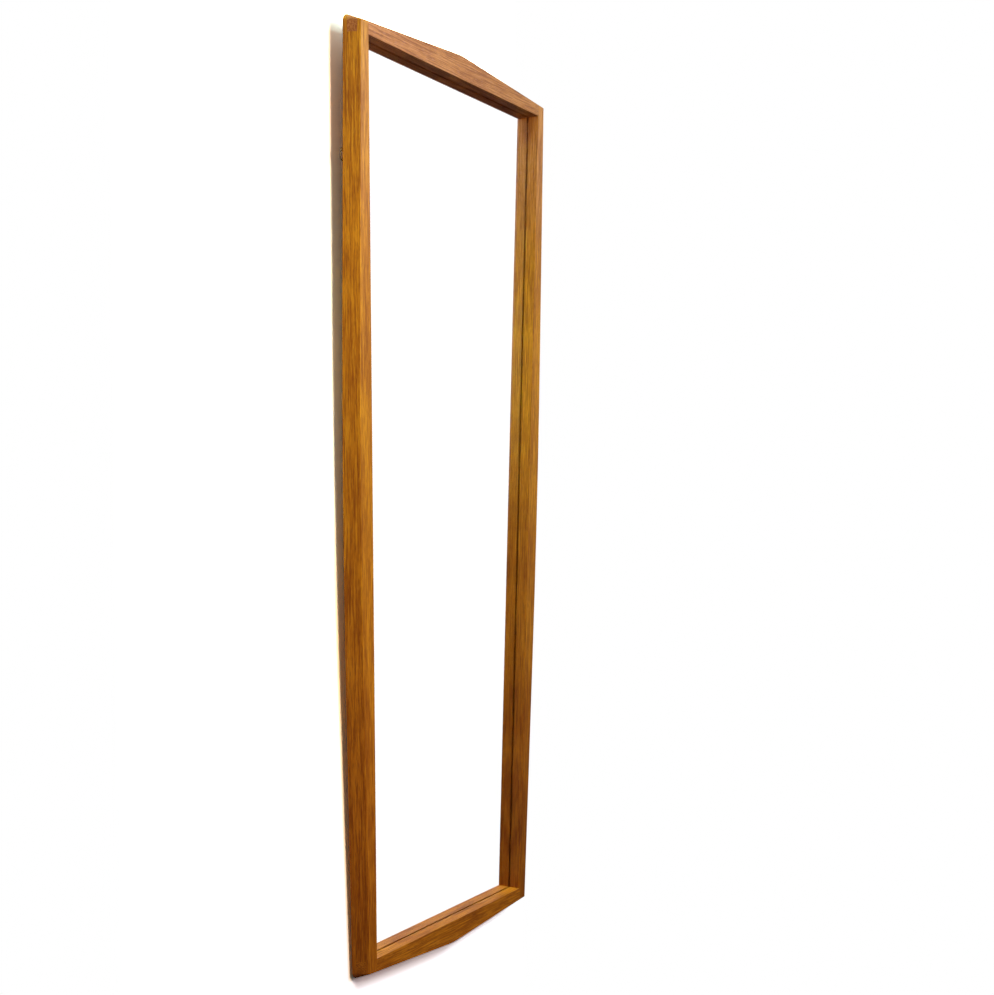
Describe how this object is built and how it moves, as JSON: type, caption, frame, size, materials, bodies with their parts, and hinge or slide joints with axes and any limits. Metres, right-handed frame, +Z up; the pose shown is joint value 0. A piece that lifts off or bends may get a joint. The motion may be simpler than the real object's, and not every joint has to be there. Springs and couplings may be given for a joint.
{
  "type": "wall mirror",
  "caption": "Tapered wall mirror: silvered glass set deep in a bevelled oak frame with peaked rails, bowed stiles and open corner bridle joints, hung by rings on its back.",
  "frame": {"origin": "on the back of the back board, at the middle of the mirror's opening", "axes": "+X to the right as seen from the front, +Y back towards the wall, +Z up"},
  "size_m": [0.4014, 0.0229, 1.0032],
  "materials": {
    "oak_left_stile": "oiled oak",
    "oak_right_stile": "oiled oak",
    "oak_top_rail": "oiled oak",
    "oak_bottom_rail": "oiled oak",
    "silvered_glass": "back silvered, polished",
    "card": "plain grey card",
    "hardboard": "raw hardboard",
    "pin_steel": "dull steel",
    "hanger_brass": "worn brass plate",
    "screw_brass": "worn brass plate"
  },
  "bodies": {
    "mirror": {"left_stile": "oak_left_stile", "right_stile": "oak_right_stile", "top_rail": "oak_top_rail", "bottom_rail": "oak_bottom_rail", "mirror_glass": "silvered_glass", "packing_card": "card", "back_board": "hardboard", "left_board_pins": "pin_steel", "right_board_pins": "pin_steel", "top_board_pins": "pin_steel", "bottom_board_pins": "pin_steel", "left_hanger_strap": "hanger_brass", "right_hanger_strap": "hanger_brass", "left_hanger_screws": "screw_brass", "right_hanger_screws": "screw_brass"},
    "left_ring": {"left_hanger_ring": "hanger_brass"},
    "right_ring": {"right_hanger_ring": "hanger_brass"}
  },
  "joints": [
    {"name": "left_ring_swing", "type": "hinge", "parent": "mirror", "child": "left_ring", "pos_m": [-0.19337, -0.0001, 0.3545], "axis": [1, 0, 0], "range_deg": [0, 180]},
    {"name": "right_ring_swing", "type": "hinge", "parent": "mirror", "child": "right_ring", "pos_m": [0.19337, -0.0001, 0.3545], "axis": [1, 0, 0], "range_deg": [0, 180]}
  ]
}
